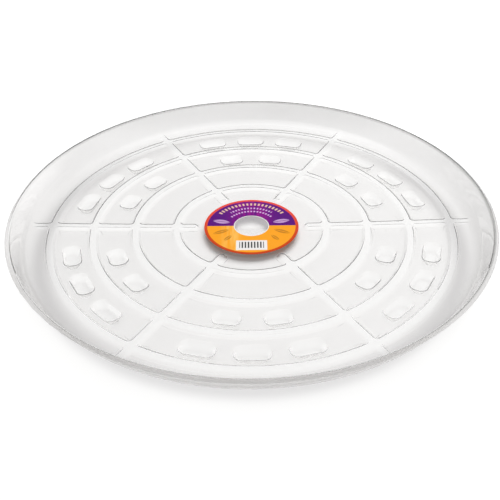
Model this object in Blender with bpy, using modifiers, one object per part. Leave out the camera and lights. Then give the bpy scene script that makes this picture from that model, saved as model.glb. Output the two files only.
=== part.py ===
"""Clear footed plant saucer, 21 inches across, with a round paper label at its centre.

The saucer is one thermoformed sheet. Two solid forms describe it: the body is the space
above the sheet's underside, the hollow is the space above its upper side, and the sheet is
the body less the hollow. Both forms are turned from the same section, and both carry the
same spokes and feet, so the sheet keeps its thickness everywhere.
Units are metres, +Z is up, and the feet stand on z = 0.
"""

import math

import bmesh
import bpy
from mathutils import Matrix, Vector

# Overall sizes
OUTER_DIAMETER = 0.5334
RIM_HEIGHT = 0.040
SHEET = 0.0009

# Rim: the wall leans outward, rolls over a crest and ends in a short trimmed lip
WALL_LEAN = math.radians(70)
CREST_RADIUS = 0.0018
LIP_FALL = math.radians(30)
LIP_LENGTH = 0.0031
COVE_RADIUS = 0.0147
BORDER_SLOPE = math.radians(8.5)

# Floor: ring ridges on panels that dip towards the centre
RIDGE_LEVEL = 0.0131
RIDGE_HEIGHT = 0.003
RIDGE_TOP_WIDTH = 0.00745
RIDGE_BASE_WIDTH = 0.0124
RING_COUNT = 4
INNER_RING_RADIUS = 0.0852
OUTER_RING_INSET = 0.0409
CENTRE_DIP = 0.0039

# Spokes: straight ridges from a rounded nose inside the inner ring out into the cove
SPOKE_COUNT = 6
NOSE_REACH = 0.0192
SPOKE_DROP = 0.0002

# Hub: the low round stage that carries the label, inside the spokes' noses
HUB_CLEARANCE = 0.0155
HUB_HEIGHT = 0.0018
HUB_FLARE = 0.0015

# Feet: hollow tapered pockets, three in each outer panel and two in the next row
OUTER_FOOT_LENGTH = 0.0355
OUTER_FOOT_WIDTH = 0.0194
OUTER_FOOT_STEP = math.radians(14.7)
INNER_FOOT_LENGTH = 0.0288
INNER_FOOT_WIDTH = 0.0205
INNER_FOOT_STEP = math.radians(18.7)
FOOT_CORNER = 0.008
FOOT_INSET = 0.004
FOOT_SOLE_CHAMFER = 0.0014

# Label: it overhangs the hub a little
LABEL_OVERHANG = 0.0035
LABEL_HOLE_DIAMETER = 0.0385
LABEL_THICKNESS = 0.00025
FIT_GAP = 0.0003

# Facets
TURN_STEPS = 44
LABEL_STEPS = 48
COVE_SEGMENTS = 4
CREST_SEGMENTS = 4
CORNER_SEGMENTS = 2
NOSE_SEGMENTS = 3
SPOKE_STATION = 0.032

# Cutters reach this far past the surfaces that they cut
REACH = 0.002

# A bevel rounds at most this share of the half width that it works on
ROUND_SHARE = 0.98

# The middle height of a unit cube parts its top from its foot
CUBE_MIDDLE = 0.5

OUTER_RADIUS = OUTER_DIAMETER / 2
OUTER_RING_RADIUS = OUTER_RADIUS - OUTER_RING_INSET
RING_SPACING = (OUTER_RING_RADIUS - INNER_RING_RADIUS) / (RING_COUNT - 1)
SPOKE_NOSE_RADIUS = INNER_RING_RADIUS - NOSE_REACH
HUB_RADIUS = SPOKE_NOSE_RADIUS - HUB_CLEARANCE
LABEL_RADIUS = HUB_RADIUS + LABEL_OVERHANG
SECTOR = 2 * math.pi / SPOKE_COUNT
RIDGE_RUN = (RIDGE_BASE_WIDTH - RIDGE_TOP_WIDTH) / 2
RIDGE_SLOPE = math.atan2(RIDGE_HEIGHT, RIDGE_RUN)


def ridge_level(radius):
    """Height of the ridge tops, which dip along a parabola inside the outer ring."""
    inside = min(radius / OUTER_RING_RADIUS, 1.0)
    return RIDGE_LEVEL - CENTRE_DIP * (1 - inside**2)


def panel_level(radius):
    """Height of the panels between the ridges."""
    return ridge_level(radius) - RIDGE_HEIGHT


def clear_scene():
    for obj in list(bpy.data.objects):
        bpy.data.objects.remove(obj, do_unlink=True)


def new_collection(name):
    collection = bpy.data.collections.new(name)
    bpy.context.scene.collection.children.link(collection)
    return collection


def new_material(name, color, roughness, transmission=0.0, ior=1.5):
    material = bpy.data.materials.new(name)
    material.use_nodes = True
    shader = material.node_tree.nodes["Principled BSDF"]
    shader.inputs["Base Color"].default_value = (*color, 1.0)
    shader.inputs["Roughness"].default_value = roughness
    shader.inputs["Metallic"].default_value = 0.0
    shader.inputs["Transmission Weight"].default_value = transmission
    shader.inputs["IOR"].default_value = ior
    material.diffuse_color = (*color, 1.0)
    return material


def object_from_bmesh(name, bm, collection):
    mesh = bpy.data.meshes.new(name)
    bm.to_mesh(mesh)
    bm.free()
    obj = bpy.data.objects.new(name, mesh)
    collection.objects.link(obj)
    return obj


def make_cutter(obj):
    obj.hide_render = True
    obj.display_type = "WIRE"


def turned(name, profile, collection, steps, closed=False):
    """An object turned about Z from (radius, height) points that run down the outer side."""
    bm = bmesh.new()
    points = [bm.verts.new((radius, 0.0, height)) for radius, height in profile]
    for first, second in zip(points, points[1:]):
        bm.edges.new((first, second))
    if closed:
        bm.edges.new((points[-1], points[0]))
    obj = object_from_bmesh(name, bm, collection)
    screw = obj.modifiers.new("turn", "SCREW")
    screw.axis = "Z"
    screw.angle = 2 * math.pi
    screw.steps = steps
    screw.render_steps = steps
    screw.use_merge_vertices = True
    screw.merge_threshold = 0.0001
    screw.use_smooth_shade = False
    return obj


def add_boolean(obj, other, operation):
    boolean = obj.modifiers.new(f"{operation.lower()} {other.name}", "BOOLEAN")
    boolean.operation = operation
    boolean.solver = "EXACT"
    boolean.object = other


def arc(centre, radius, start, end, segments):
    """Points of an arc, with its angles measured anticlockwise from +radius."""
    points = []
    for i in range(segments + 1):
        angle = start + (end - start) * i / segments
        points.append((centre[0] + radius * math.cos(angle), centre[1] + radius * math.sin(angle)))
    return points


def ring_section(radius):
    """Inner base, two top and outer base points of a ring ridge, which has a level top."""
    half_base = RIDGE_BASE_WIDTH / 2
    half_top = RIDGE_TOP_WIDTH / 2
    top = ridge_level(radius)
    return [
        (radius - half_base, panel_level(radius - half_base)),
        (radius - half_top, top),
        (radius + half_top, top),
        (radius + half_base, panel_level(radius + half_base)),
    ]


def rim_section(start):
    """Border, cove, wall, crest and lip, from the outer ring's foot at start."""
    lip_reach = CREST_RADIUS * math.sin(LIP_FALL) + LIP_LENGTH * math.cos(LIP_FALL)
    crest = (OUTER_RADIUS - lip_reach, RIM_HEIGHT - CREST_RADIUS)
    wall_top_angle = math.pi / 2 + WALL_LEAN
    lip_angle = math.pi / 2 - LIP_FALL
    crest_arc = arc(crest, CREST_RADIUS, wall_top_angle, lip_angle, CREST_SEGMENTS)
    # The border line and the wall line meet at the corner that the cove rounds off
    wall = Vector((math.cos(WALL_LEAN), math.sin(WALL_LEAN)))
    border = Vector((math.cos(BORDER_SLOPE), math.sin(BORDER_SLOPE)))
    gap = Vector(crest_arc[0]) - Vector(start)
    along = (gap.x * wall.y - gap.y * wall.x) / (border.x * wall.y - border.y * wall.x)
    corner = Vector(start) + border * along
    tangent = COVE_RADIUS * math.tan((WALL_LEAN - BORDER_SLOPE) / 2)
    cove_start = corner - border * tangent
    cove_centre = cove_start + Vector((-border.y, border.x)) * COVE_RADIUS
    cove_arc = arc(
        cove_centre,
        COVE_RADIUS,
        BORDER_SLOPE - math.pi / 2,
        WALL_LEAN - math.pi / 2,
        COVE_SEGMENTS,
    )
    edge = (OUTER_RADIUS, crest_arc[-1][1] - LIP_LENGTH * math.sin(LIP_FALL))
    return cove_arc + crest_arc + [edge]


def upper_section():
    """The sheet's upper side from the axis out to the trimmed edge."""
    hub_base = HUB_RADIUS + HUB_FLARE
    hub_top = panel_level(hub_base) + HUB_HEIGHT
    points = [(0.0, hub_top), (HUB_RADIUS, hub_top), (hub_base, panel_level(hub_base))]
    for ring in range(RING_COUNT):
        points += ring_section(INNER_RING_RADIUS + ring * RING_SPACING)
    return points + rim_section(points[-1])


def offset_below(points, distance):
    """The section moved square to itself by the sheet's thickness, mitred at each point."""
    moved = []
    for i, (radius, height) in enumerate(points):
        before = Vector(points[max(i - 1, 0)])
        here = Vector((radius, height))
        after = Vector(points[min(i + 1, len(points) - 1)])
        first = (here - before).normalized() if i > 0 else (after - here).normalized()
        second = (after - here).normalized() if i < len(points) - 1 else first
        normal = Vector((first.y, -first.x)) + Vector((second.y, -second.x))
        normal.normalize()
        stretch = normal.dot(Vector((first.y, -first.x)))
        place = here + normal * (distance / stretch)
        moved.append((place.x, place.y))
    # The trimmed edge is cut square to the table
    moved[-1] = (points[-1][0], points[-1][1] - distance / math.cos(LIP_FALL))
    return moved


def bar_outline(bm, length):
    """A box from the nose centre out, with its nose end rounded: half width 1 and height 1."""
    made = bmesh.ops.create_cube(bm, size=1.0)
    verts = made["verts"]
    nose = RIDGE_TOP_WIDTH / 2
    bmesh.ops.translate(bm, verts=verts, vec=(0.5, 0.0, 0.5))
    bmesh.ops.scale(bm, verts=verts, vec=(length + nose, 2 * nose, 1.0))
    bmesh.ops.translate(bm, verts=verts, vec=(-nose, 0.0, 0.0))
    upright = [
        edge
        for edge in bm.edges
        if all(vert.co.x < 0 for vert in edge.verts)
        and abs(edge.verts[0].co.z - edge.verts[1].co.z) > CUBE_MIDDLE
    ]
    bmesh.ops.bevel(
        bm,
        geom=upright,
        offset=nose * ROUND_SHARE,
        offset_type="OFFSET",
        segments=NOSE_SEGMENTS,
        profile=0.5,
        affect="EDGES",
    )


def spoke_bars(name, collection, lowered):
    """The six spokes as bars, lowered and narrowed for the sheet's underside."""
    narrowed = lowered * math.tan(RIDGE_SLOPE / 2)
    cut_top = RIDGE_HEIGHT - SPOKE_DROP
    run = RIDGE_RUN / RIDGE_HEIGHT
    half_top = RIDGE_TOP_WIDTH / 2 + SPOKE_DROP * run - narrowed
    half_foot = RIDGE_TOP_WIDTH / 2 + (RIDGE_HEIGHT + REACH) * run - narrowed
    end = OUTER_RADIUS - COVE_RADIUS
    length = end - SPOKE_NOSE_RADIUS
    bm = bmesh.new()
    bar_outline(bm, length)
    stations = max(2, round(length / SPOKE_STATION))
    for i in range(1, stations):
        everything = bm.verts[:] + bm.edges[:] + bm.faces[:]
        place = (length * i / stations, 0.0, 0.0)
        bmesh.ops.bisect_plane(bm, geom=everything, plane_co=place, plane_no=(1.0, 0.0, 0.0))
    for vert in bm.verts:
        top = vert.co.z > CUBE_MIDDLE
        widen = (half_top if top else half_foot) / (RIDGE_TOP_WIDTH / 2)
        across = vert.co.y * widen
        along = SPOKE_NOSE_RADIUS + (vert.co.x * widen if vert.co.x < 0 else vert.co.x)
        floor = panel_level(max(along, SPOKE_NOSE_RADIUS)) - lowered
        vert.co = (along, across, floor + (cut_top if top else -REACH))
    single = bm.verts[:] + bm.edges[:] + bm.faces[:]
    for i in range(1, SPOKE_COUNT):
        copied = bmesh.ops.duplicate(bm, geom=single)["geom"]
        turned_verts = [item for item in copied if isinstance(item, bmesh.types.BMVert)]
        turn = Matrix.Rotation(i * SECTOR, 3, "Z")
        bmesh.ops.rotate(bm, verts=turned_verts, cent=(0.0, 0.0, 0.0), matrix=turn)
    obj = object_from_bmesh(name, bm, collection)
    make_cutter(obj)
    return obj


def foot_places():
    """Radius, angle, length and width of each foot, row by row and sector by sector."""
    outer_row = OUTER_RING_RADIUS - RING_SPACING / 2
    inner_row = outer_row - RING_SPACING
    places = []
    for sector in range(SPOKE_COUNT):
        middle = (sector + 0.5) * SECTOR
        for step in (-1, 0, 1):
            angle = middle + step * OUTER_FOOT_STEP
            places.append((outer_row, angle, OUTER_FOOT_LENGTH, OUTER_FOOT_WIDTH))
        for step in (-0.5, 0.5):
            angle = middle + step * INNER_FOOT_STEP
            places.append((inner_row, angle, INNER_FOOT_LENGTH, INNER_FOOT_WIDTH))
    return places


def foot_block(bm, radius, angle, length, width, grown):
    """One tapered foot: its opening is length by width on the panel's upper side."""
    opening = panel_level(radius)
    sole = 0.0 if grown else SHEET
    rise = opening - SHEET
    draft = FOOT_INSET / rise
    wall = SHEET * math.sqrt(1 + draft**2) if grown else 0.0
    top = opening + REACH
    made = bmesh.ops.create_cube(bm, size=1.0)
    half_length = length / 2 + wall
    half_width = width / 2 + wall
    bmesh.ops.scale(bm, verts=made["verts"], vec=(2 * half_width, 2 * half_length, top - sole))
    bmesh.ops.translate(bm, verts=made["verts"], vec=(0.0, 0.0, (top + sole) / 2))
    upright = [
        edge
        for edge in {edge for vert in made["verts"] for edge in vert.link_edges}
        if abs(edge.verts[0].co.z - edge.verts[1].co.z) > rise / 2
    ]
    corner = min(FOOT_CORNER + wall, half_width * ROUND_SHARE, half_length * ROUND_SHARE)
    rounded = bmesh.ops.bevel(
        bm,
        geom=upright,
        offset=corner,
        offset_type="OFFSET",
        segments=CORNER_SEGMENTS,
        profile=0.5,
        affect="EDGES",
    )
    block = {vert for face in rounded["faces"] for vert in face.verts}
    rim_of_sole = {
        edge
        for vert in block
        for edge in vert.link_edges
        if all(abs(end.co.z - sole) < SHEET / 4 for end in edge.verts)
    }
    for vert in block:
        # The taper shrinks each level towards the foot's middle
        sunk = (opening - vert.co.z) * draft
        vert.co.x *= 1 - sunk / half_width
        vert.co.y *= 1 - sunk / half_length
    # The pocket's chamfer is the smaller one, so that the sole's edge keeps the sheet's thickness
    half_corner = (math.pi - math.atan2(1.0, draft)) / 2
    shrink = 0.0 if grown else SHEET * (1 / math.sin(half_corner) - 1) / math.cos(half_corner)
    bm.normal_update()
    chamfered = bmesh.ops.bevel(
        bm,
        geom=list(rim_of_sole),
        offset=FOOT_SOLE_CHAMFER - shrink,
        offset_type="OFFSET",
        segments=1,
        profile=0.5,
        affect="EDGES",
    )
    block = {vert for vert in block if vert.is_valid}
    block |= {vert for face in chamfered["faces"] for vert in face.verts}
    place = Matrix.Rotation(angle, 4, "Z") @ Matrix.Translation((radius, 0.0, 0.0))
    bmesh.ops.transform(bm, matrix=place, verts=list(block))


def foot_blocks(name, collection, grown):
    bm = bmesh.new()
    for radius, angle, length, width in foot_places():
        foot_block(bm, radius, angle, length, width, grown)
    bmesh.ops.recalc_face_normals(bm, faces=bm.faces)
    obj = object_from_bmesh(name, bm, collection)
    make_cutter(obj)
    return obj


def build_hollow(section, collection):
    """The space above the sheet's upper side, with the spokes left out and the pockets added."""
    lid = RIM_HEIGHT + 2 * REACH
    past = OUTER_RADIUS + REACH
    fall = section[-1][1] - REACH * math.tan(LIP_FALL)
    profile = [(0.0, lid), (past, lid), (past, fall)] + section[-2::-1]
    hollow = turned("hollow", profile, collection, TURN_STEPS)
    add_boolean(hollow, spoke_bars("spokes above", collection, 0.0), "DIFFERENCE")
    add_boolean(hollow, foot_blocks("foot pockets", collection, False), "UNION")
    make_cutter(hollow)
    return hollow


def build_saucer(parts, cutters):
    """The formed sheet: the body less the hollow."""
    section = upper_section()
    underside = offset_below(section, SHEET)
    lid = RIM_HEIGHT + REACH
    profile = [(0.0, lid), (OUTER_RADIUS, lid)] + underside[::-1]
    saucer = turned("saucer", profile, parts, TURN_STEPS)
    add_boolean(saucer, spoke_bars("spokes below", cutters, SHEET), "DIFFERENCE")
    add_boolean(saucer, foot_blocks("foot bodies", cutters, True), "UNION")
    add_boolean(saucer, build_hollow(section, cutters), "DIFFERENCE")
    saucer.data.materials.append(new_material("clear_plastic", (0.93, 0.95, 0.96), 0.06, 0.95, 1.54))
    return saucer


def build_label(parts):
    """The round paper label with a centre hole, lying on the hub."""
    hub_top = panel_level(HUB_RADIUS + HUB_FLARE) + HUB_HEIGHT
    low = hub_top + FIT_GAP
    high = low + LABEL_THICKNESS
    hole = LABEL_HOLE_DIAMETER / 2
    profile = [(hole, high), (LABEL_RADIUS, high), (LABEL_RADIUS, low), (hole, low)]
    label = turned("label", profile, parts, LABEL_STEPS, closed=True)
    label.data.materials.append(new_material("printed_paper", (0.85, 0.3, 0.12), 0.4))
    return label


def main():
    clear_scene()
    parts = new_collection("plant_saucer")
    cutters = new_collection("cutters")
    build_saucer(parts, cutters)
    build_label(parts)


main()
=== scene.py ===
"""Looks of the clear footed plant saucer: the formed sheet, its paper label and a plain studio.

The sheet's upper side is a height over the plan, so a shape here is a grid of plan points and a
grid of heights. Plan points are complex numbers, x + iy. All lengths are metres, +Z is up, and
the sheet is worked out in one sector of 60 degrees between two spokes, which is then turned.
"""

import logging
from dataclasses import dataclass, field
from enum import Enum
from functools import partial, reduce
from math import acos, asin, atan2, cos, pi, radians, sin, sqrt, tan
from typing import Callable, Sequence, Union

import bmesh
import bpy
import numpy as np
from mathutils import Matrix, Vector


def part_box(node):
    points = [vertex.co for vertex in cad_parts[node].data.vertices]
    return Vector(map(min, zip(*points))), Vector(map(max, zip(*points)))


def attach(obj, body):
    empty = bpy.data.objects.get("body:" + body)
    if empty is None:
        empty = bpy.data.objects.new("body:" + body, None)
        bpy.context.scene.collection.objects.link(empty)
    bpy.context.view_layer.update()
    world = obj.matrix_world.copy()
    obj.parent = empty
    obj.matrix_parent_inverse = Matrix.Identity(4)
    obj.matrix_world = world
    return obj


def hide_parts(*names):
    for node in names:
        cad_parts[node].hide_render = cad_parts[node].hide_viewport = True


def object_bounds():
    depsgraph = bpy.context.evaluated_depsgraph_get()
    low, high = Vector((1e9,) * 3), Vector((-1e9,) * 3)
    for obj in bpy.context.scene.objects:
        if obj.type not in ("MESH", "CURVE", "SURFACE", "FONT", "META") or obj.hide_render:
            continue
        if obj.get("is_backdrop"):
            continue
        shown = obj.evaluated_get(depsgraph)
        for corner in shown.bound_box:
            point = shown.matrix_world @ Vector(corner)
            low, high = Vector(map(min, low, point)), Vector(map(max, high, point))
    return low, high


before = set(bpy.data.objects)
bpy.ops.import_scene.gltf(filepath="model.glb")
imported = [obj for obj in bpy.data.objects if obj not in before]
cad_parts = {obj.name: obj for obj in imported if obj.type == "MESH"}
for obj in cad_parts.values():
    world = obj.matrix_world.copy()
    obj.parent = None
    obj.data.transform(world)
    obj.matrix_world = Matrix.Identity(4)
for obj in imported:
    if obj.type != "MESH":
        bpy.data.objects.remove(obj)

LOG = logging.getLogger("plant_saucer")
SECTORS = 6
HALF_SECTOR = pi / SECTORS
WELD = 1e-5
NOISE_DETAIL = 2.0
OPAQUE = 1.0
# Length, heading and phase of each wave in the sheet's unevenness.
SHEET_WAVES = ((0.083, 0.3, 0.4), (0.057, 1.45, 2.1), (0.041, 2.6, 5.0), (0.029, 0.95, 1.2))
# Whole periods and a half: they keep what FRACT reads above 0 and centre a period on 0.
PERIOD_SHIFT = 100.5
Grid = np.ndarray
Pair = tuple[float, float]
Colour = tuple[float, float, float]
# A mask's low, high and softness, or a finish's scale, low and high.
Window = tuple[float, float, float]
# The bounds of a smooth step, then its value below and above them.
Ramp = tuple[float, float, float, float]
Socket = bpy.types.NodeSocket
Given = Union[Socket, float, Sequence[float]]


def eased(start: float, stop: float, value: Grid) -> Grid:
    """A cubic step, 3t^2 - 2t^3 of the clamped share t.

    Args:
        start: where the step leaves 0.
        stop: where it reaches 1.
        value: where it is read.

    Returns:
        The step at each value.
    """
    share = np.clip((value - start) / (stop - start), 0.0, 1.0)
    return share * share * (3 - 2 * share)


def arc(centre: complex, radius: float, start: float, end: float, segments: int) -> Grid:
    """Points of a circular arc, centre + radius e^(i angle).

    Args:
        centre: the circle's centre.
        radius: its radius.
        start: first angle, anticlockwise from +x.
        end: last angle.
        segments: its steps.

    Returns:
        One point more than segments.
    """
    return centre + radius * np.exp(1j * np.linspace(start, end, segments + 1))


def joined(*runs: Grid) -> Grid:
    """Runs of points end to end, where each run starts on the last point of the one before."""
    return np.concatenate([runs[0]] + [run[1:] for run in runs[1:]])


def coons(first: Grid, last: Grid, left: Grid, right: Grid) -> Grid:
    """The Coons patch: the rows' blend plus the columns' blend less the corners' blend.

    Args:
        first: the boundary of row 0, from left to right.
        last: the boundary of the last row, from left to right.
        left: the boundary of column 0, from row 0 on.
        right: the boundary of the last column, from row 0 on.

    Returns:
        A grid that fills the four runs.
    """
    down = np.linspace(0, 1, len(left))[:, None]
    across = np.linspace(0, 1, len(first))[None, :]
    rows = (1 - down) * first[None, :] + down * last[None, :]
    columns = (1 - across) * left[:, None] + across * right[:, None]
    top = (1 - across) * first[0] + across * first[-1]
    bottom = (1 - across) * last[0] + across * last[-1]
    return rows + columns - (1 - down) * top - down * bottom


def quads_of(index: Grid) -> Grid:
    """The quads of a grid of point numbers, as rows of four."""
    return np.stack([index[:-1, :-1], index[:-1, 1:], index[1:, 1:], index[1:, :-1]], -1).reshape(-1, 4)


def placed(name: str, data: bpy.types.ID) -> bpy.types.Object:
    """A new object, linked to the scene.

    Args:
        name: its name.
        data: its mesh, camera or lamp.

    Returns:
        The object.
    """
    made = bpy.data.objects.new(name, data)
    bpy.context.scene.collection.objects.link(made)
    return made


@dataclass(frozen=True)
class Fillets:
    """A slope between two levels, rounded where it leaves the upper one and meets the lower one."""

    rise: float
    run: float
    top_radius: float
    base_radius: float

    @property
    def slope(self) -> float:
        """Angle of the slope above the level."""
        return atan2(self.rise, self.run)

    def profile(self, steps: int, on_slope: int) -> tuple[Grid, Grid]:
        """Distances down the slope and heights there: two arcs that touch the slope between them.

        Args:
            steps: segments of each rounding.
            on_slope: segments between them.

        Returns:
            Distances from the bare slope's upper edge, and shares of the rise.
        """
        turn = np.linspace(0, self.slope, steps + 1)
        bend = np.sin(turn) - tan(self.slope / 2) + 1j * (np.cos(turn) - 1)
        top = 1j * self.rise + self.top_radius * bend
        base = self.run - self.base_radius * bend
        out = joined(top, np.linspace(top[-1], base[-1], on_slope + 1), base[::-1])
        return out.real, out.imag / self.rise


@dataclass(frozen=True)
class SheetSection:
    """Heights of the sheet's upper side by radius: ridges, dished panels, border, cove and rim."""

    outer_radius: float
    rim_height: float
    sheet: float = 0.0009
    wall_lean: float = radians(70)
    crest_radius: float = 0.0018
    lip_fall: float = radians(30)
    lip_length: float = 0.0031
    cove_radius: float = 0.0147
    border_slope: float = radians(8.5)
    ridge_level: float = 0.0131
    ridge_height: float = 0.003
    ridge_half_top: float = 0.00345
    ridge_half_base: float = 0.0066
    ring_count: int = 4
    inner_ring: float = 0.0852
    outer_ring_inset: float = 0.0409
    centre_dip: float = 0.0039

    @property
    def outer_ring(self) -> float:
        """Radius of the outer ring ridge."""
        return self.outer_radius - self.outer_ring_inset

    @property
    def ring_spacing(self) -> float:
        """Distance between neighbouring ring ridges."""
        return (self.outer_ring - self.inner_ring) / (self.ring_count - 1)

    def ring(self, number: int) -> float:
        """Radius of a ring ridge, counted from the outer one as 0."""
        return self.outer_ring - number * self.ring_spacing

    def top(self, radius: Grid) -> Grid:
        """Height of the ridge tops: a parabola inside the outer ring and level outside it."""
        inside = np.minimum(np.asarray(radius) / self.outer_ring, 1.0)
        return self.ridge_level - self.centre_dip * (1 - inside**2)

    def panel(self, radius: Grid) -> Grid:
        """Height of the panels inside the outer ring."""
        return self.top(radius) - self.ridge_height

    @property
    def crest_centre(self) -> complex:
        """Centre of the rim's rolled crest, as radius + i height."""
        reach = self.crest_radius * sin(self.lip_fall) + self.lip_length * cos(self.lip_fall)
        return complex(self.outer_radius - reach, self.rim_height - self.crest_radius)

    @property
    def cove(self) -> tuple[complex, complex]:
        """The cove, the arc that is tangent to the border and to the wall.

        Returns:
            Its start and its centre, as radius + i height.
        """
        start = complex(self.outer_ring + self.ridge_half_base, self.ridge_level - self.ridge_height)
        lean = complex(cos(self.wall_lean), sin(self.wall_lean))
        slope = complex(cos(self.border_slope), sin(self.border_slope))
        wall_top = self.crest_centre + self.crest_radius * 1j * lean
        gap = wall_top - start
        along = (gap * lean.conjugate()).imag / (slope * lean.conjugate()).imag
        tangent = self.cove_radius * tan((self.wall_lean - self.border_slope) / 2)
        cove_start = start + slope * (along - tangent)
        return cove_start, cove_start + 1j * slope * self.cove_radius

    def border(self, radius: Grid) -> Grid:
        """Height outside the outer ring: the sloped border line, then the cove's arc.

        Args:
            radius: where it is read.

        Returns:
            The height there.
        """
        start, centre = self.cove
        radius = np.asarray(radius)
        line = start.imag + (radius - start.real) * tan(self.border_slope)
        away = np.clip(radius - centre.real, -self.cove_radius, self.cove_radius)
        curve = centre.imag - np.sqrt(self.cove_radius**2 - away**2)
        return np.where(radius < start.real, line, curve)

    def rim(self, start: float, steps: Sequence[int]) -> Grid:
        """The rim's section: the cove's arc, the straight wall, the crest's arc and the lip.

        Args:
            start: radius in the cove at which it starts.
            steps: segments of the cove, the wall, the crest and the lip.

        Returns:
            Points as radius + i height.
        """
        cove, wall, crest, lip = steps
        _, centre = self.cove
        first = -acos((start - centre.real) / self.cove_radius)
        bend = arc(centre, self.cove_radius, first, self.wall_lean - pi / 2, cove)
        turns = (pi / 2 + self.wall_lean, pi / 2 - self.lip_fall)
        roll = arc(self.crest_centre, self.crest_radius, *turns, crest)
        straight = np.linspace(bend[-1], roll[0], wall + 1)
        fall = complex(cos(self.lip_fall), -sin(self.lip_fall))
        edge = np.linspace(roll[-1], roll[-1] + fall * self.lip_length, lip + 1)
        return joined(bend, straight, roll, edge)


class PanelRow(Enum):
    """The rows of panels: the ring outside each, and its feet in steps from a panel's middle."""

    OUTER = (0, (-1, 0, 1))
    MIDDLE = (1, (-0.5, 0.5))
    INNER = (2, ())


@dataclass(frozen=True)
class Foot:
    """One kind of hollow foot: a rounded rectangle that tapers down to its sole."""

    length: float
    width: float
    step: float
    corner: float = 0.008
    inset: float = 0.004
    top_radius: float = 0.0018
    sole_radius: float = 0.0022

    def outline(self, segments: int = 12) -> tuple[Grid, Grid]:
        """The opening's outline about its own centre, anticlockwise from +x.

        Args:
            segments: steps of each rounded corner.

        Returns:
            Points once round, and the share of the perimeter at each.
        """
        half = complex(self.width / 2, self.length / 2)
        centre = half - complex(self.corner, self.corner)
        quarter = np.concatenate([[half.real], arc(centre, self.corner, 0, pi / 2, segments)])
        upper = joined(quarter, -np.conj(quarter[::-1]))
        points = np.concatenate([upper, np.conj(upper[-2::-1])])
        walked = np.concatenate([[0.0], np.cumsum(np.abs(np.diff(points)))])
        return points, walked / walked[-1]

    def facing(self, local: Grid) -> Grid:
        """Outline points that face the points of a closed run round the foot.

        A place is the mean of two: the one at the same angle, in a frame squeezed to the foot's
        proportions, and the one at the same count round the run.

        Args:
            local: the run about the foot's centre, anticlockwise, its start not repeated.

        Returns:
            One outline point for each point of the run.
        """
        points, share = self.outline()
        angle = np.unwrap(np.angle(local.real / self.width + 1j * local.imag / self.length))
        around = np.unwrap(np.angle(points.real / self.width + 1j * points.imag / self.length))
        around[-1] = 2 * pi
        laps = (-1, 0, 1, 2)
        angles = np.concatenate([around[:-1] + 2 * pi * lap for lap in laps])
        shares = np.concatenate([share[:-1] + lap for lap in laps])
        places = np.interp(angle, angles, shares)
        count = np.arange(len(local)) / len(local)
        place = (places + count + np.mean(places - count)) / 2
        whole = np.tile(points[:-1], len(laps))
        return np.interp(place, shares, whole.real) + 1j * np.interp(place, shares, whole.imag)


@dataclass(frozen=True)
class RimDent:
    """A stretch of the rim, towards the viewer's left, that sits a little inward and low in waves."""

    bearing: float = radians(223)
    spread: float = radians(11)
    start: float = 0.2575
    run: float = 0.007
    inward: float = 0.0012
    drop: float = 0.0006
    waves: float = 62.0
    steady: float = 0.62

    def share(self, plan: Grid) -> Grid:
        """How far the rim gives way: exp(-(turn / spread)^2), waved, growing from start outward.

        Args:
            plan: plan points.

        Returns:
            The share at each.
        """
        turn = np.angle(plan * np.exp(-1j * self.bearing))
        outward = eased(self.start, self.start + self.run, np.abs(plan))
        waved = self.steady + (1 - self.steady) * np.cos(self.waves * turn)
        return outward * np.exp(-((turn / self.spread) ** 2)) * waved


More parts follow.
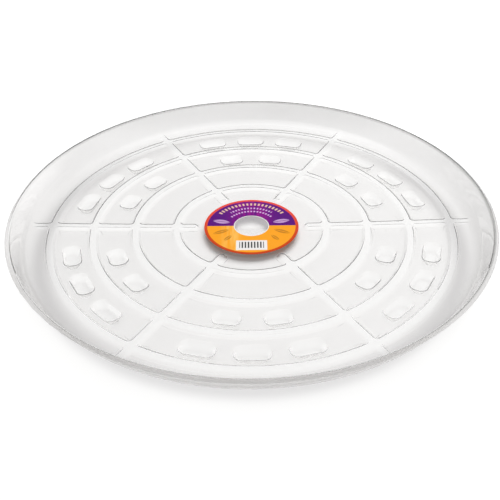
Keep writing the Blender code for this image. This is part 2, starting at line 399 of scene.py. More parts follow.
@dataclass
class Patchwork:
    """Grids of plan points and heights that meet along shared points, turned into one mesh."""

    ripple: float = 0.00012
    dent: RimDent = RimDent()
    points: list[Grid] = field(default_factory=list)
    quads: list[Grid] = field(default_factory=list)
    painted_shades: list[Grid] = field(default_factory=list)
    count: int = 0

    def rippled(self, plan: Grid) -> Grid:
        """The faint unevenness of a formed sheet: plane waves of unlike length and heading.

        Args:
            plan: plan points.

        Returns:
            The height it adds at each.
        """
        total = np.zeros(plan.shape)
        for length, heading, phase in SHEET_WAVES:
            along = (plan * np.exp(-1j * heading)).real
            total = total + np.sin(2 * pi * along / length + phase) * length
        return self.ripple * total / sum(length for length, _, _ in SHEET_WAVES)

    def add(self, plan: Grid, height: Grid, film: float | Grid = 1.0, slack: float | Grid = 1.0) -> None:
        """Adds one grid, and its copies turned into the other sectors.

        Args:
            plan: plan points in the sector's own frame.
            height: the height at each.
            film: how much each has of the painted shade on level sheet, from 0 to 1.
            slack: share of the sheet's unevenness at each, 0 where it is held flat.
        """
        quads = quads_of(np.arange(plan.size).reshape(plan.shape))
        turns = np.exp(1j * HALF_SECTOR * (2 * np.arange(SECTORS) + 1))
        turned = plan.ravel()[None, :] * turns[:, None]
        loose = np.broadcast_to(slack, plan.shape).ravel()
        heights = height.ravel()[None, :] + self.rippled(turned) * loose[None, :]
        given = self.dent.share(turned)
        heights = heights - self.dent.drop * given
        turned = turned - self.dent.inward * given * np.exp(1j * np.angle(turned))
        self.points.append(np.stack([turned.real, turned.imag, heights], -1).reshape(-1, 3))
        self.painted_shades.append(np.tile(np.broadcast_to(film, plan.shape).ravel(), SECTORS))
        shifts = self.count + plan.size * np.arange(SECTORS)
        self.quads.append((quads[None] + shifts[:, None, None]).reshape(-1, 4))
        self.count += plan.size * SECTORS

    def mesh(self, name: str) -> bpy.types.Mesh:
        """One welded mesh of all the grids, with every face looking up.

        Args:
            name: the mesh's name.

        Returns:
            The mesh.
        """
        points = np.concatenate(self.points)
        quads = np.concatenate(self.quads)
        plan = points[:, 0] + 1j * points[:, 1]
        across = plan[quads[:, 2]] - plan[quads[:, 0]]
        along = plan[quads[:, 3]] - plan[quads[:, 1]]
        downward = (np.conj(across) * along).imag < 0
        quads[downward] = quads[downward][:, ::-1]
        mesh = bpy.data.meshes.new(name)
        mesh.from_pydata(points, [], quads.tolist())
        # Per-point share of the painted shade that darkens level sheet.
        mesh.attributes.new("film", "FLOAT", "POINT").data.foreach_set("value", np.concatenate(self.painted_shades))
        weld = bmesh.new()
        weld.from_mesh(mesh)
        bmesh.ops.remove_doubles(weld, verts=weld.verts, dist=WELD)
        weld.to_mesh(mesh)
        weld.free()
        return mesh


@dataclass
class FormedSheet:
    """The saucer: one thermoformed sheet with ring and spoke ridges, hollow feet and a rolled rim."""

    section: SheetSection
    outer_foot: Foot = Foot(0.0355, 0.0194, radians(14.7))
    middle_foot: Foot = Foot(0.0288, 0.0205, radians(18.7))
    ridge_top_round: float = 0.0013
    ridge_base_round: float = 0.0018
    corner_reach: float = 0.0072
    nose_reach: float = 0.0192
    hub_clearance: float = 0.0155
    hub_height: float = 0.0018
    hub_flare: float = 0.0015
    hub_round: float = 0.0011
    cove_cut: float = 0.250
    fade_width: float = 0.35
    # Power on a foot's share of the painted shade, so its walls and sole stay clear.
    painted_shade_power: int = 4
    arc_half: int = 12
    divide_cut: int = 3
    corner_steps: int = 4
    side_steps: int = 7
    nose_steps: int = 4
    round_steps: int = 3
    foot_slope_steps: int = 2
    lead_steps: int = 3
    fade_steps: int = 5
    hub_lead_steps: int = 6
    rim_steps: tuple[int, ...] = (4, 3, 7, 2)
    sole_shares: tuple[float, ...] = (0.62, 0.25, 0.0)
    hub_shares: tuple[float, ...] = (0.8, 0.55, 0.3, 0.1, 0.0)
    sharp_edge: float = radians(50)
    name: str = "saucer_shell"
    work: Patchwork = field(default_factory=Patchwork)

    def ridge_lines(self) -> tuple[Grid, Grid]:
        """The lines along a ridge, from its centre line to its foot.

        Returns:
            Their offsets from the centre line, and the ridge's share of its height there.
        """
        run = self.section.ridge_half_base - self.section.ridge_half_top
        slope = Fillets(self.section.ridge_height, run, self.ridge_top_round, self.ridge_base_round)
        away, share = slope.profile(self.round_steps, 1)
        offsets = away + self.section.ridge_half_top
        return np.concatenate([[0.0, offsets[0] / 2], offsets]), np.concatenate([[1.0, 1.0], share])

    def turned_in(self, ring: float, offset: float, outside: bool) -> Grid:
        """The run along a ring from the sector's middle, and round the corner to the spoke.

        The corners of all offsets share one centre, corner_reach from both centre lines.

        Args:
            ring: the ring ridge's radius.
            offset: distance from the centre lines, 0 for the sharp crossing itself.
            outside: whether the run lies outside the ring.

        Returns:
            Points in the spoke's frame, with the spoke along +x.
        """
        reach = self.corner_reach
        away = ring + reach if outside else ring - reach
        centre = complex(sqrt(away**2 - reach**2), reach)
        lean = atan2(centre.imag, centre.real) - (pi if outside else 0)
        bend = arc(centre, reach - offset, lean, -pi / 2, self.corner_steps)
        if offset == 0:
            half = self.corner_steps // 2
            on_spoke = np.linspace(ring, centre.real, half + 1)
            bend = joined(arc(0, ring, asin(reach / ring), 0, half), on_spoke)
        side = ring + offset if outside else ring - offset
        return joined(arc(0, side, HALF_SECTOR, float(np.angle(bend[0])), self.arc_half), bend)

    def mirrored(self, half: Grid) -> Grid:
        """A half run in the spoke's frame, put in the sector's frame and mirrored past its end."""
        turned = half * np.exp(-1j * HALF_SECTOR)
        return joined(turned, np.conj(turned[::-1]))

    def panel_loop(self, outer: float, inner: float, offset: float) -> Grid:
        """The closed run round a panel at one offset from its four ridges.

        Args:
            outer: radius of the ring outside the panel.
            inner: radius of the ring inside it.
            offset: distance from the ridges' centre lines.

        Returns:
            Points from the middle of the outer side, past the -30 degree spoke and back.
        """
        head = self.turned_in(outer, offset, False)
        tail = self.turned_in(inner, offset, True)
        return self.mirrored(joined(head, np.linspace(head[-1], tail[-1], self.side_steps + 1), tail[::-1]))

    def add_panel(self, row: PanelRow) -> None:
        """Adds one panel: its rounded edge, then its floor with the feet in it.

        Args:
            row: the panel's row.
        """
        number, places = row.value
        outer = self.section.ring(number)
        inner = self.section.ring(number + 1)
        edge = self.add_ridge(lambda offset: self.panel_loop(outer, inner, offset), self.section.panel)
        loop = edge[:-1]
        top = self.arc_half + self.corner_steps // 2
        low = top + self.corner_steps + self.side_steps
        mid = len(loop) // 2
        if not places:
            first = np.concatenate([loop[: top + 1][::-1], loop[-top:][::-1]])
            side = loop[top : low + 1]
            plan = coons(first, loop[low : 2 * mid - low + 1], side, np.conj(side))
            self.work.add(plan, self.section.panel(np.abs(plan)))
            return
        middle = 0 in places
        foot = self.outer_foot if middle else self.middle_foot
        radius = outer - self.section.ring_spacing / 2
        cut = self.divide_cut if middle else 0
        divide = np.linspace(loop[cut], loop[mid - cut], low - top + 1)
        inward = loop[low : mid - cut + 1][::-1]
        cell = joined(loop[cut : top + 1][::-1], divide, inward, loop[top : low + 1][::-1])[:-1]
        centre = radius * np.exp(-1j * foot.step * places[-1])
        self.add_foot(foot, centre, cell)
        self.add_foot(foot, np.conj(centre), np.conj(cell)[::-1])
        if cut:
            outer_run = np.concatenate([loop[1 : cut + 1][::-1], [loop[0]], loop[-cut:][::-1]])
            inner_run = loop[mid - cut : mid + cut + 1][::-1]
            cell = joined(outer_run, np.conj(divide), inner_run, divide[::-1])
            self.add_foot(foot, complex(radius, 0), cell[:-1])

    def add_foot(self, foot: Foot, centre: complex, cell: Grid) -> None:
        """Adds a foot and the floor round it, as rings from the cell's edge to the sole.

        Args:
            foot: the kind of foot.
            centre: its place in the sector's frame.
            cell: the closed run round its floor, anticlockwise, its start not repeated.
        """
        turn = centre / abs(centre)
        local = cell / turn - abs(centre)
        edge = foot.facing(local)
        rise = self.section.panel(abs(centre)) - self.section.sheet
        wall = Fillets(float(rise), foot.inset, foot.top_radius, foot.sole_radius)
        inset, share = wall.profile(self.round_steps, self.foot_slope_steps)
        sink = inset[:, None]
        rings = edge.real * (1 - 2 * sink / foot.width) + 1j * edge.imag * (1 - 2 * sink / foot.length)
        blend = np.linspace(0, 1, self.lead_steps + 1)[:-1, None]
        lead = (1 - blend) * local + blend * rings[0]
        sole = rings[-1] * np.array(self.sole_shares)[:, None]
        grid = np.concatenate([lead, rings, sole])
        share = np.concatenate([np.ones(len(lead)), share, np.zeros(len(sole))])[:, None]
        plan = (grid + abs(centre)) * turn
        plan = np.concatenate([plan, plan[:, :1]], 1)
        floor = self.section.panel(np.abs(plan))
        height = self.section.sheet + (floor - self.section.sheet) * share
        # Painted shade: full on the floor round a foot, none on its walls and sole.
        self.work.add(plan, height, share**self.painted_shade_power, share)

    def add_ridge(self, run: Callable[[float], Grid], base: Callable[[Grid], Grid]) -> Grid:
        """Adds a ridge's side: the floor plus a share, by offset, of the height up to the ridge top.

        Args:
            run: gives the run of points at an offset.
            base: gives the floor's height at a radius.

        Returns:
            The run along the ridge's foot.
        """
        offsets, share = self.ridge_lines()
        strip = np.stack([run(offset) for offset in offsets])
        radius = np.abs(strip)
        floor = base(radius)
        lift = share[:, None] * np.maximum(self.section.top(radius) - floor, 0.0)
        # Painted shade: none on the ridge tops, full at the ridge's foot.
        self.work.add(strip, floor + lift, 1 - share[:, None])
        return strip[-1]

    def border_run(self, offset: float) -> Grid:
        """The run from a spoke's end in the cove, narrowing as the border rises, round the outer ring.

        Args:
            offset: distance from the ridges' centre lines.

        Returns:
            Points in the sector's frame, as far as the next spoke's end.
        """
        corner = self.turned_in(self.section.outer_ring, offset, True)
        half_top = self.section.ridge_half_top
        along = np.linspace(corner[-1].real, self.cove_cut, self.fade_steps + 1)
        left = self.section.top(along) - self.section.border(along)
        narrow = np.clip(left / left[0], self.fade_width, 1.0)
        across = min(offset, half_top) + max(offset - half_top, 0.0) * narrow
        end = sqrt(self.cove_cut**2 - across[-1] ** 2)
        side = np.linspace(along[0], end, self.fade_steps + 1) + 1j * across
        return self.mirrored(joined(side[::-1], corner[::-1]))

    def nose_run(self, offset: float) -> Grid:
        """The run from one spoke's nose round the inner ring to the next.

        Args:
            offset: distance from the ridges' centre lines.

        Returns:
            Points in the sector's frame.
        """
        nose = self.section.inner_ring - self.nose_reach
        corner = self.turned_in(self.section.inner_ring, offset, False)
        bow = arc(nose, offset, pi, pi / 2, self.nose_steps)
        side = np.linspace(complex(nose, offset), corner[-1], self.lead_steps + 1)
        return self.mirrored(joined(bow, side, corner[::-1]))

    def add_border(self) -> None:
        """Adds the border outside the outer ring, the spokes' ends and the rim."""
        edge = self.add_ridge(self.border_run, self.section.border)
        turn = (len(edge) - 1) // 2 - self.arc_half - self.corner_steps // 2
        inner = edge[turn : len(edge) - turn]
        ends = np.array([np.angle(self.border_run(offset)[0]) for offset in self.ridge_lines()[0]])
        bow = np.linspace(ends[-1], -ends[-1], len(inner))
        outer = self.cove_cut * np.exp(1j * bow)
        left = edge[: turn + 1][::-1]
        plan = coons(inner, outer, left, np.conj(left))
        self.work.add(plan, self.section.border(np.abs(plan)))
        around = joined(ends, bow, -ends[::-1])
        rim = self.section.rim(self.cove_cut, self.rim_steps)
        plan = rim.real[:, None] * np.exp(1j * around)[None, :]
        level = np.broadcast_to(rim.imag[:, None], plan.shape)
        held = eased(rim.imag[0], 2 * rim.imag[0], rim.imag)
        self.work.add(plan, level, 1.0, 1 - held[:, None])

    def add_centre(self) -> None:
        """Adds the floor inside the inner ring, with the spokes' noses, and the hub."""
        edge = self.add_ridge(self.nose_run, self.section.panel)
        even = np.linspace(-HALF_SECTOR, HALF_SECTOR, len(edge))
        facing = np.exp(1j * (even + np.angle(edge)) / 2)
        hub = self.section.inner_ring - self.nose_reach - self.hub_clearance
        flare = Fillets(self.hub_height, self.hub_flare, self.hub_round, self.hub_round)
        away, height = flare.profile(self.round_steps, 1)
        radii = (hub + away)[::-1]
        blend = np.linspace(0, 1, self.hub_lead_steps + 1)[:-1, None]
        lead = (1 - blend) * edge + blend * radii[0] * facing
        inner = radii[-1] * np.array(self.hub_shares)
        plan = np.concatenate([lead, np.concatenate([radii, inner])[:, None] * facing])
        lift = np.concatenate([np.zeros(len(lead)), height[::-1], np.ones(len(inner))]) * self.hub_height
        level = self.section.panel(np.maximum(np.abs(plan), hub + self.hub_flare))
        self.work.add(plan, level + lift[:, None])

    def build(self) -> bpy.types.Object:
        """Builds the sheet: its upper side, then its thickness downward.

        Returns:
            The shell, with smooth faces and a sharp trimmed edge.
        """
        for row in PanelRow:
            self.add_panel(row)
        self.add_border()
        self.add_centre()
        shell = placed(self.name, self.work.mesh(self.name))
        wall = shell.modifiers.new("sheet thickness", "SOLIDIFY")
        wall.thickness = self.section.sheet
        wall.offset = -1
        wall.use_even_offset = True
        wall.use_quality_normals = True
        graph = bpy.context.evaluated_depsgraph_get()
        thick = bpy.data.meshes.new_from_object(shell.evaluated_get(graph))
        shell.modifiers.clear()
        shell.data = thick
        thick.shade_smooth()
        thick.set_sharp_from_angle(angle=self.sharp_edge)
        return shell


@dataclass
class PaperLabel:
    """The round paper label on the hub, with its centre hole."""

    low: Vector
    high: Vector
    hole_radius: float = 0.01925
    edge_round: float = 0.00005
    flat_points: int = 12
    around: int = 192
    sharp_edge: float = radians(40)
    name: str = "paper_label"

    def build(self) -> bpy.types.Object:
        """Builds the label: a thin section, turned.

        Returns:
            The label.
        """
        inner, radius, round_ = self.hole_radius, self.high.x, self.edge_round
        low, high = self.low.z, self.high.z
        flat = np.linspace(inner + round_, radius - round_, self.flat_points)
        outer = [complex(radius, high - round_), complex(radius, low + round_)]
        hole = [complex(inner, low + round_), complex(inner, high - round_)]
        section = np.concatenate([flat + 1j * high, outer, flat[::-1] + 1j * low, hole])[:, None]
        plan = section.real * np.exp(1j * np.linspace(0, 2 * pi, self.around, endpoint=False))
        points = np.stack([plan.real, plan.imag, np.broadcast_to(section.imag, plan.shape)], -1)
        index = np.pad(np.arange(plan.size).reshape(plan.shape), ((0, 1), (0, 1)), "wrap")
        mesh = bpy.data.meshes.new(self.name)
        mesh.from_pydata(points.reshape(-1, 3), [], quads_of(index)[:, ::-1].tolist())
        mesh.shade_smooth()
        mesh.set_sharp_from_angle(angle=self.sharp_edge)
        return placed(self.name, mesh)


@dataclass
class Nodes:
    """A short way to place nodes in one tree."""

    tree: bpy.types.NodeTree

    def feed(self, socket: Socket, value: Given) -> None:
        """Links an output to an input, or sets the input.

        Args:
            socket: the input.
            value: an output or a value, where a colour of three numbers is opaque.
        """
        if isinstance(value, Socket):
            self.tree.links.new(value, socket)
        elif socket.type == "RGBA":
            socket.default_value = (*value, OPAQUE)
        else:
            socket.default_value = value

    def put(self, kind: str, settings: dict | None = None, **sockets: Given) -> bpy.types.Node:
        """Places a node.

        Args:
            kind: its type, without the ShaderNode prefix.
            settings: its own options.
            sockets: what each input gets, by name with _ for a space, or by i and number.

        Returns:
            The node.
        """
        node = self.tree.nodes.new(kind if kind.startswith("Node") else f"ShaderNode{kind}")
        for key, value in (settings or {}).items():
            setattr(node, key, value)
        for key, value in sockets.items():
            self.feed(node.inputs[int(key[1:]) if key[1:].isdigit() else key.replace("_", " ")], value)
        return node

    def math(self, operation: str, *values: Given) -> Socket:
        """The output of a Math node on these values."""
        sockets = {f"i{number}": value for number, value in enumerate(values)}
        return self.put("Math", {"operation": operation}, **sockets).outputs[0]

    def times(self, *values: Given) -> Socket:
        """The product of all these values."""
        return reduce(partial(self.math, "MULTIPLY"), values)

    def noise(self, place: Socket, scale: Given, detail: float = NOISE_DETAIL) -> Socket:
        """The output of a noise texture."""
        return self.put("TexNoise", Vector=place, Scale=scale, Detail=detail).outputs[0]

    def ramp(self, value: Given, low: float, high: float, start: float = 0.0, stop: float = 1.0) -> Socket:
        """The output of a smooth step from start, below low, to stop, above high."""
        bounds = {"From_Min": low, "From_Max": high, "To_Min": start, "To_Max": stop}
        return self.put("MapRange", {"interpolation_type": "SMOOTHSTEP"}, Value=value, **bounds).outputs[0]

    def window(self, value: Given, low: float, high: float, soft: float) -> Socket:
        """A mask that is 1 between two bounds, with edges soft to each side of them."""
        rise = self.ramp(value, low - soft, low + soft)
        return self.times(rise, self.ramp(value, high - soft, high + soft, 1.0, 0.0))

    def box(self, x: Socket, y: Socket, wide: Window, high: Window) -> Socket:
        """A mask that is 1 inside a window across and another one up."""
        return self.times(self.window(x, *wide), self.window(y, *high))

    def repeats(self, value: Given, period: float, share: float, soft: float) -> Socket:
        """A mask that is 1 on the middle share of each period, soft by a share of the period."""
        step = self.math("FRACT", self.math("ADD", self.math("DIVIDE", value, period), PERIOD_SHIFT))
        return self.window(step, 0.5 - share / 2, 0.5 + share / 2, soft)

    def by_ray(self, seen: Given, bent: Given, other: float) -> Socket:
        """The value for camera rays, for mirrored or bent rays, and for all others.

        Args:
            seen: what the camera gets.
            bent: what rays mirrored or bent by the sheet get.
            other: what the light on all surfaces is worked out with.

        Returns:
            The value that fits the ray.
        """
        path = self.put("LightPath").outputs
        passed = self.math("MAXIMUM", path["Is Glossy Ray"], path["Is Transmission Ray"])
        value = self.put("MapRange", Value=passed, To_Min=other, To_Max=bent).outputs[0]
        return self.put("MapRange", Value=path["Is Camera Ray"], To_Min=value, To_Max=seen).outputs[0]

    def plan(self, place: Socket) -> tuple[Socket, Socket, Socket]:
        """Takes object coordinates apart.

        Args:
            place: the coordinates.

        Returns:
            Their x, their y and their distance from the saucer's axis.
        """
        x, y, _ = self.put("SeparateXYZ", Vector=place).outputs
        flat = self.put("CombineXYZ", X=x, Y=y).outputs[0]
        return x, y, self.put("VectorMath", {"operation": "LENGTH"}, i0=flat).outputs["Value"]

    def finish(self, place: Socket, scale: float, low: float, high: float) -> tuple[Socket, Socket]:
        """The value and the height of the shared group of an uneven finish."""
        sockets = {"Vector": place, "Scale": scale, "Low": low, "High": high}
        return tuple(self.put("Group", {"node_tree": uneven_finish()}, **sockets).outputs)

    def blend(self, factor: Given, first: Given, second: Given) -> Socket:
        """The output of a colour mix."""
        return self.put("Mix", {"data_type": "RGBA"}, i0=factor, i6=first, i7=second).outputs[2]


def uneven_finish() -> bpy.types.NodeTree:
    """The shared node group of a slightly uneven finish.

    Returns:
        The group: its value wanders between Low and High, its height is a finer grain.
    """
    name = "uneven_finish"
    common = {"From_Min": 0.35, "From_Max": 0.75}
    wander_detail, fineness = 3.0, 4.0
    if name in bpy.data.node_groups:
        return bpy.data.node_groups[name]
    tree = bpy.data.node_groups.new(name, "ShaderNodeTree")
    for title, kind in (("Vector", "Vector"), ("Scale", "Float"), ("Low", "Float"), ("High", "Float")):
        tree.interface.new_socket(title, in_out="INPUT", socket_type=f"NodeSocket{kind}")
    for title in ("Value", "Height"):
        tree.interface.new_socket(title, in_out="OUTPUT", socket_type="NodeSocketFloat")
    nodes = Nodes(tree)
    given = nodes.put("NodeGroupInput").outputs
    place, scale = given["Vector"], given["Scale"]
    wander = nodes.noise(place, scale, wander_detail)
    value = nodes.put("MapRange", Value=wander, To_Min=given["Low"], To_Max=given["High"], **common)
    height = nodes.noise(place, nodes.times(scale, fineness))
    nodes.put("NodeGroupOutput", Value=value.outputs[0], Height=height)
    return tree


def new_material(name: str) -> tuple[bpy.types.Material, Nodes, Socket]:
    """A material with an empty tree.

    Args:
        name: its name.

    Returns:
        The material, its nodes and its object coordinates.
    """
    material = bpy.data.materials.new(name)
    material.use_nodes = True
    material.node_tree.nodes.clear()
    nodes = Nodes(material.node_tree)
    return material, nodes, nodes.put("TexCoord").outputs["Object"]


@dataclass(frozen=True)
class ClearSheet:
    """Clear formed plastic, glossy, with a faint unevenness from the mould.

    The base colour tints what is seen through the sheet: beside the sheet's faint colour it holds painted
    shade on level sheet, deeper painted shade on the wall and a painted dark line on the far crest. A shade
    colours the lamp's light that falls through it. Haze is a scale and two roughnesses, swell a strength
    and a height. The values named front, back and depth go by y, and the others by the distance from the
    axis.
    """

    ior: float = 1.54
    haze: Window = (38.0, 0.03, 0.08)
    hub_haze: Ramp = (0.014, 0.022, 0.24, 0.0)
    swell_scale: float = 55.0
    swell: Pair = (0.12, 0.0006)
    clear: Colour = (1.0, 0.998, 0.995)
    # The sheet's faint colour and painted shade on level sheet; ridges and feet stay clear.
    level_tint_and_shade: Colour = (0.942, 0.936, 0.932)
    # Painted shade: the wall is greyed in the base colour, less so towards the front.
    wall_painted_shade: Colour = (0.79, 0.782, 0.777)
    wall: Ramp = (0.240, 0.256, 0.0, 1.0)
    wall_shade_front: Ramp = (-0.26, -0.12, 0.55, 1.0)
    # Painted shade: a dark line along the crest, on the far side and leaning to the right.
    crest_painted_shade: Colour = (0.45, 0.445, 0.44)
    crest: Window = (0.2618, 0.2638, 0.0004)
    crest_shade_lean: float = 0.5
    crest_shade_back: Ramp = (-0.2, 0.1, 0.0, 1.0)
    trapped_depth: Ramp = (-0.15, 0.05, 4.5, 11.5)
    level_shade: Colour = (0.955, 0.953, 0.95)
    steep_shade: Colour = (0.68, 0.675, 0.67)
    steepness: float = 3.0
    cove_shade: Colour = (0.76, 0.755, 0.755)
    cove: Window = (0.226, 0.244, 0.008)
    cove_back: Ramp = (0.1, 0.2, 1.0, 0.4)

    def material(self) -> bpy.types.Material:
        """Glass-like plastic that lets through the lamp's light, and light long trapped in it.

        Returns:
            The material: clear on ridges and feet, painted shade in the base colour on level sheet, deeper
                on the wall, and a painted dark line on the far crest.
        """
        material, nodes, place = new_material("clear_plastic")
        x, y, radius = nodes.plan(place)
        rough, _ = nodes.finish(place, *self.haze)
        rough = nodes.math("MAXIMUM", rough, nodes.ramp(radius, *self.hub_haze))
        strength, distance = self.swell
        swell = nodes.noise(place, self.swell_scale)
        bump = nodes.put("Bump", Height=swell, Strength=strength, Distance=distance)
        film = nodes.put("Attribute", {"attribute_name": "film"}).outputs["Fac"]
        # Painted shade in the base colour: level sheet darker than ridges and feet.
        color = nodes.blend(film, self.clear, self.level_tint_and_shade)
        # Painted shade on the wall, lighter towards the front.
        wall = nodes.times(nodes.ramp(radius, *self.wall), nodes.ramp(y, *self.wall_shade_front))
        color = nodes.blend(wall, color, self.wall_painted_shade)
        # A painted dark line on the crest, on the far side only.
        away = nodes.math("ADD", y, nodes.times(x, self.crest_shade_lean))
        crest = nodes.times(nodes.window(radius, *self.crest), nodes.ramp(away, *self.crest_shade_back))
        shader = nodes.put(
            "BsdfPrincipled",
            Base_Color=nodes.blend(crest, color, self.crest_painted_shade),
            IOR=self.ior,
            Roughness=rough,
            Transmission_Weight=1.0,
            Normal=bump.outputs[0],
        )
        facing = nodes.put("LayerWeight").outputs["Facing"]
        shade = nodes.blend(nodes.math("POWER", facing, self.steepness), self.level_shade, self.steep_shade)
        gather = nodes.times(nodes.window(radius, *self.cove), nodes.ramp(y, *self.cove_back))
        clear = nodes.put("BsdfTransparent", Color=nodes.blend(gather, shade, self.cove_shade))
        path = nodes.put("LightPath").outputs
        open_ = nodes.math("GREATER_THAN", path["Ray Depth"], nodes.ramp(y, *self.trapped_depth))
        for kind in ("Is Shadow Ray", "Is Diffuse Ray"):
            open_ = nodes.math("MAXIMUM", open_, path[kind])
        mix = nodes.put("MixShader", Fac=open_, i1=shader.outputs[0], i2=clear.outputs[0])
        nodes.put("OutputMaterial", Surface=mix.outputs[0])
        return material


@dataclass(frozen=True)
class BeadArc:
    """An arc of small printed beads about the label's centre."""

    inner: float
    outer: float
    reach: float
    period: float
    share: float
    edge: float = 0.0004
    end: float = 0.004
    bead_edge: float = 0.08

    def mask(self, nodes: Nodes, radius: Socket, turn: Socket) -> Socket:
        """The arc's mask.

        Args:
            nodes: the material's nodes.
            radius: distance from the centre.
            turn: angle from the label's top.

        Returns:
            1 on the beads, once a period, as far as reach to each side.
        """
        band = nodes.window(radius, self.inner, self.outer, self.edge)
        side = nodes.window(turn, -self.reach, self.reach, self.end)
        return nodes.times(band, side, nodes.repeats(turn, self.period, self.share, self.bead_edge))


@dataclass(frozen=True)
class Leaf:
    """A printed leaf and its mirror image: a parabola to each side of a bare rib."""

    x: float
    y: float
    lean: float
    length: float
    width: float
    rib: float = 0.0004

    def mask(self, nodes: Nodes, across: Socket, y: Socket) -> Socket:
        """The leaf's mask.

        Args:
            nodes: the material's nodes.
            across: distance from the line of symmetry.
            y: height on the label.

        Returns:
            1 where the distance from the rib is under width / 2 (1 - (2 along / length)^2).
        """
        right = nodes.math("SUBTRACT", across, self.x)
        up = nodes.math("SUBTRACT", y, self.y)
        level, lift = cos(self.lean), sin(self.lean)
        along = nodes.math("ADD", nodes.times(right, level), nodes.times(up, lift))
        beside = nodes.math("SUBTRACT", nodes.times(up, level), nodes.times(right, lift))
        beside = nodes.math("ABSOLUTE", beside)
        share = nodes.math("DIVIDE", along, self.length / 2)
        bow = nodes.math("SUBTRACT", 1.0, nodes.times(share, share))
        inside = nodes.math("LESS_THAN", beside, nodes.times(bow, self.width / 2))
        return nodes.times(inside, nodes.math("GREATER_THAN", beside, self.rib))


@dataclass(frozen=True)
class PrintedPaper:
    """Two-colour printed paper, semi-gloss, with a plain pattern of beads, leaves and even stripes."""

    edge_high: Colour = (0.83, 0.075, 0.05)
    edge_low: Colour = (0.6, 0.055, 0.005)
    upper: Colour = (0.095, 0.0, 0.19)
    upper_middle: Colour = (0.28, 0.0, 0.24)
    lower: Colour = (0.98, 0.38, 0.015)
    lower_pale: Colour = (1.0, 0.56, 0.12)
    cream: Colour = (0.85, 0.55, 0.4)
    lilac: Colour = (0.72, 0.45, 0.78)
    brown: Colour = (0.45, 0.17, 0.01)
    paper: Colour = (0.9, 0.88, 0.86)
    ink: Colour = (0.05, 0.045, 0.05)
    gloss: float = 0.2
    rough: Window = (160.0, 0.34, 0.5)
    grain: Pair = (0.08, 0.0002)
    streak_scale: float = 260.0
    streak_length: float = 0.12
    glow: Ramp = (0.004, 0.034, 1.0, 0.0)
    glow_streak: Pair = (0.25, 0.65)
    sunny: Window = (-0.031, -0.014, 0.007)
    sunny_streak: Pair = (0.3, 0.7)
    leaf_ink: float = 0.75
    edge_start: float = 0.0505
    edge_fade: Pair = (-0.03, 0.04)
    hole_rim: float = 0.0202
    patch: tuple[Window, Window] = ((-0.0172, 0.0172, 0.0003), (-0.0462, -0.0285, 0.0003))
    stripes: tuple[Window, Window] = ((-0.0136, 0.0136, 0.0003), (-0.0425, -0.0312, 0.0003))
    stripe: Window = (0.0034, 0.5, 0.06)

    def pattern(self, nodes: Nodes, place: Socket) -> Socket:
        """The print's colour by place on the label.

        Args:
            nodes: the material's nodes.
            place: object coordinates.

        Returns:
            The grounds, the motifs, the patch, the border and the hole's rim, in this order.
        """
        x, y, radius = nodes.plan(place)
        across = nodes.math("ABSOLUTE", x)
        turn = nodes.math("ARCTAN2", x, y)
        streaks = nodes.put("Mapping", Vector=place, Scale=(1.0, self.streak_length, 1.0)).outputs[0]
        streak = nodes.noise(streaks, self.streak_scale)
        glow = nodes.times(nodes.ramp(across, *self.glow), nodes.ramp(streak, *self.glow_streak))
        upper = nodes.blend(glow, self.upper, self.upper_middle)
        sunny = nodes.times(nodes.window(x, *self.sunny), nodes.ramp(streak, *self.sunny_streak))
        lower = nodes.blend(sunny, self.lower, self.lower_pale)
        color = nodes.blend(nodes.math("LESS_THAN", y, 0.0), upper, lower)
        motifs = (
            (BeadArc(0.0418, 0.0464, radians(57), radians(6.0), 0.5), self.cream),
            (BeadArc(0.0342, 0.0372, radians(42), radians(6.0), 0.5), self.lilac),
            (BeadArc(0.0278, 0.0304, radians(54), radians(7.2), 0.55), self.lilac),
        )
        for arc_, ink in motifs:
            color = nodes.blend(arc_.mask(nodes, radius, turn), color, ink)
        leaves = (
            (Leaf(0.0345, 0.0088, radians(12), 0.021, 0.0075), self.lilac),
            (Leaf(0.0345, -0.0115, radians(-24), 0.021, 0.0062), self.brown),
            (Leaf(0.0265, -0.0235, radians(-50), 0.014, 0.0048), self.brown),
        )
        for leaf, ink in leaves:
            faint = nodes.times(leaf.mask(nodes, across, y), self.leaf_ink)
            color = nodes.blend(faint, color, ink)
        patch, stripes = (nodes.box(across, y, *place) for place in (self.patch, self.stripes))
        color = nodes.blend(patch, color, self.paper)
        color = nodes.blend(nodes.times(stripes, nodes.repeats(x, *self.stripe)), color, self.ink)
        border = nodes.blend(nodes.ramp(y, *self.edge_fade), self.edge_low, self.edge_high)
        color = nodes.blend(nodes.math("GREATER_THAN", radius, self.edge_start), color, border)
        return nodes.blend(nodes.math("LESS_THAN", radius, self.hole_rim), color, self.paper)

    def material(self) -> bpy.types.Material:
        """The label's print on paper, with a fine grain.

        Returns:
            The material.
        """
        material, nodes, place = new_material("printed_paper")
        rough, height = nodes.finish(place, *self.rough)
        strength, distance = self.grain
        bump = nodes.put("Bump", Height=height, Strength=strength, Distance=distance)
        shader = nodes.put(
            "BsdfPrincipled",
            Base_Color=self.pattern(nodes, place),
            Roughness=rough,
            Specular_IOR_Level=self.gloss,
            Normal=bump.outputs[0],
        )
        nodes.put("OutputMaterial", Surface=shader.outputs[0])
        return material


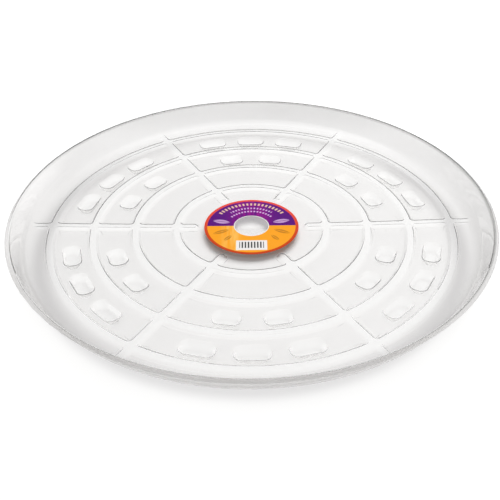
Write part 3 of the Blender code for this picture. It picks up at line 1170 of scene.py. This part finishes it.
@dataclass
class Studio:
    """Plain pale floor, pale world, one soft lamp, and the camera at the photograph's angle."""

    floor_reach: float = 1.3
    elevation: float = radians(34.82796)
    roll: float = radians(0.617704)
    distance: float = 0.801127
    turn: float = radians(0.13706)
    tip: float = radians(2.24464)
    target_height: float = 0.0131
    lens: float = 50.472
    clip_start: float = 0.01
    floor_steps: int = 24
    floor_drop: float = 0.0002
    floor_rough: float = 0.9
    floor_tone: Window = (9.0, 0.0, 1.0)
    floor_pale: Colour = (0.95, 0.95, 0.95)
    floor_dull: Colour = (0.93, 0.93, 0.93)
    seen_glow: Ramp = (0.5, 1.1, 0.2, 0.6)
    bent_glow: float = 0.14
    # Painted light and shade on what the sheet shows: more glow at the left edge, less at the right, none
    # behind.
    painted_left_light: Ramp = (-0.285, -0.235, 0.19, 0.0)
    painted_right_shade: Ramp = (0.24, 0.28, 0.0, -0.06)
    painted_light_back_fade: Ramp = (0.22, 0.32, 1.0, 0.0)
    # Painted light on the floor under the label's hole, lifting the label's shadow seen through it.
    painted_hole_light: float = 0.45
    hub: tuple[Window, Window] = ((-0.03, 0.03, 0.008), (0.006, 0.056, 0.008))
    key_distance: float = 4.0
    key_lean: float = radians(27)
    key_azimuth: float = radians(72)
    key_size: float = 3.4
    key_energy: float = 178.0
    sky: float = 0.2
    side_sky: Ramp = (-0.35, 0.38, 0.35, 0.78)
    front_sky: Ramp = (-0.1, -0.6, 0.0, 0.3)
    top_sky: Ramp = (0.74, 0.9, 0.0, 1.0)
    horizon: float = 0.3
    horizon_height: Ramp = (0.2, 0.34, 1.0, 0.0)
    horizon_back: Ramp = (0.6, 0.85, 0.0, 1.0)

    def camera(self) -> None:
        """Places the camera: it looks from the front, and is turned, tipped and rolled a little."""
        data = bpy.data.cameras.new("camera")
        data.lens = self.lens
        data.clip_start = self.clip_start
        camera = placed("camera", data)
        away = Vector((0, -cos(self.elevation), sin(self.elevation))) * self.distance
        pose = Matrix.Translation(away + Vector((0, 0, self.target_height)))
        turns = ((pi / 2 - self.elevation, "X"), (self.turn, "Y"), (-self.tip, "X"), (-self.roll, "Z"))
        for angle, axis in turns:
            pose = pose @ Matrix.Rotation(angle, 4, axis)
        camera.matrix_world = pose
        bpy.context.scene.camera = camera

    def lamp(self) -> None:
        """Places the square soft lamp. It looks at the origin, and mirrored and bent rays miss it."""
        flat = self.key_distance * sin(self.key_lean)
        lift = self.key_distance * cos(self.key_lean)
        place = Vector((flat * cos(self.key_azimuth), flat * sin(self.key_azimuth), lift))
        data = bpy.data.lights.new("overhead", "AREA")
        data.shape = "SQUARE"
        data.size = self.key_size
        data.energy = self.key_energy
        lamp = placed("overhead", data)
        lamp.location = place
        lamp.visible_glossy = False
        lamp.visible_transmission = False
        lamp.rotation_euler = (-place).to_track_quat("-Z", "Y").to_euler()

    def floor(self) -> None:
        """Lays the pale floor, which glows for the camera and for mirrored and bent rays, with painted
        light by place for these: more to the left, less to the right, none behind, and a painted light
        patch under the label's hole.
        """
        line = np.linspace(-self.floor_reach, self.floor_reach, self.floor_steps + 1)
        x, y = np.meshgrid(line, line)
        points = np.stack([x, y, np.full_like(x, -self.floor_drop)], -1).reshape(-1, 3)
        mesh = bpy.data.meshes.new("floor")
        mesh.from_pydata(points, [], quads_of(np.arange(x.size).reshape(x.shape)).tolist())
        floor = placed("floor", mesh)
        material, nodes, place = new_material("pale_floor")
        tone, _ = nodes.finish(place, *self.floor_tone)
        x, y, radius = nodes.plan(place)
        # Painted light and shade for bent rays: stronger to the left, weaker to the right, gone behind.
        sides = nodes.math("ADD", nodes.ramp(x, *self.painted_left_light), nodes.ramp(x, *self.painted_right_shade))
        bent = nodes.times(nodes.math("ADD", sides, self.bent_glow), nodes.ramp(y, *self.painted_light_back_fade))
        # Painted light: a patch under the label's hole that lifts the label's shadow there.
        bent = nodes.math("MAXIMUM", bent, nodes.times(nodes.box(x, y, *self.hub), self.painted_hole_light))
        shader = nodes.put(
            "BsdfPrincipled",
            Base_Color=nodes.blend(tone, self.floor_pale, self.floor_dull),
            Roughness=self.floor_rough,
            Specular_IOR_Level=0.0,
            Emission_Color=(1, 1, 1),
            Emission_Strength=nodes.by_ray(nodes.ramp(radius, *self.seen_glow), bent, 0.0),
        )
        nodes.put("OutputMaterial", Surface=shader.outputs[0])
        mesh.materials.append(material)
        floor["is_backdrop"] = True

    def world(self) -> None:
        """Sets the world: white for the camera, a dim even light, and a sky for mirrored and bent rays.

        That sky is brighter to the right, overhead and in front, and dim at the far horizon.
        """
        world = bpy.data.worlds.new("studio")
        bpy.context.scene.world = world
        world.use_nodes = True
        world.node_tree.nodes.clear()
        nodes = Nodes(world.node_tree)
        heading = nodes.put("SeparateXYZ", Vector=nodes.put("TexCoord").outputs["Generated"]).outputs
        sky = nodes.ramp(heading["X"], *self.side_sky)
        for axis, ramp in (("Y", self.front_sky), ("Z", self.top_sky)):
            sky = nodes.math("MAXIMUM", sky, nodes.ramp(heading[axis], *ramp))
        low = nodes.ramp(heading["Z"], *self.horizon_height)
        low = nodes.times(low, nodes.ramp(heading["Y"], *self.horizon_back))
        sky = nodes.put("MapRange", Value=low, To_Min=sky, To_Max=self.horizon).outputs[0]
        back = nodes.put("Background", Color=(1, 1, 1), Strength=nodes.by_ray(1.0, sky, self.sky))
        nodes.put("OutputWorld", Surface=back.outputs[0])

    def build(self) -> None:
        """Sets the whole studio."""
        self.floor()
        self.world()
        self.lamp()
        self.camera()
        bpy.context.scene.view_settings.view_transform = "Standard"


def main() -> None:
    """Builds and dresses each piece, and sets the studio."""
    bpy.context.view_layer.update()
    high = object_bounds()[1]
    sheet = FormedSheet(SheetSection(high.x, high.z))
    shell = sheet.build()
    shell.data.materials.append(ClearSheet().material())
    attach(shell, "root")
    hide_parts("saucer")
    LOG.info("%s: %d faces", shell.name, len(shell.data.polygons))
    label = PaperLabel(*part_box("label")).build()
    label.data.materials.append(PrintedPaper().material())
    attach(label, "root")
    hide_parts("label")
    LOG.info("%s: %d faces", label.name, len(label.data.polygons))
    Studio().build()


if __name__ == "__main__":
    logging.basicConfig(level=logging.INFO)
    main()
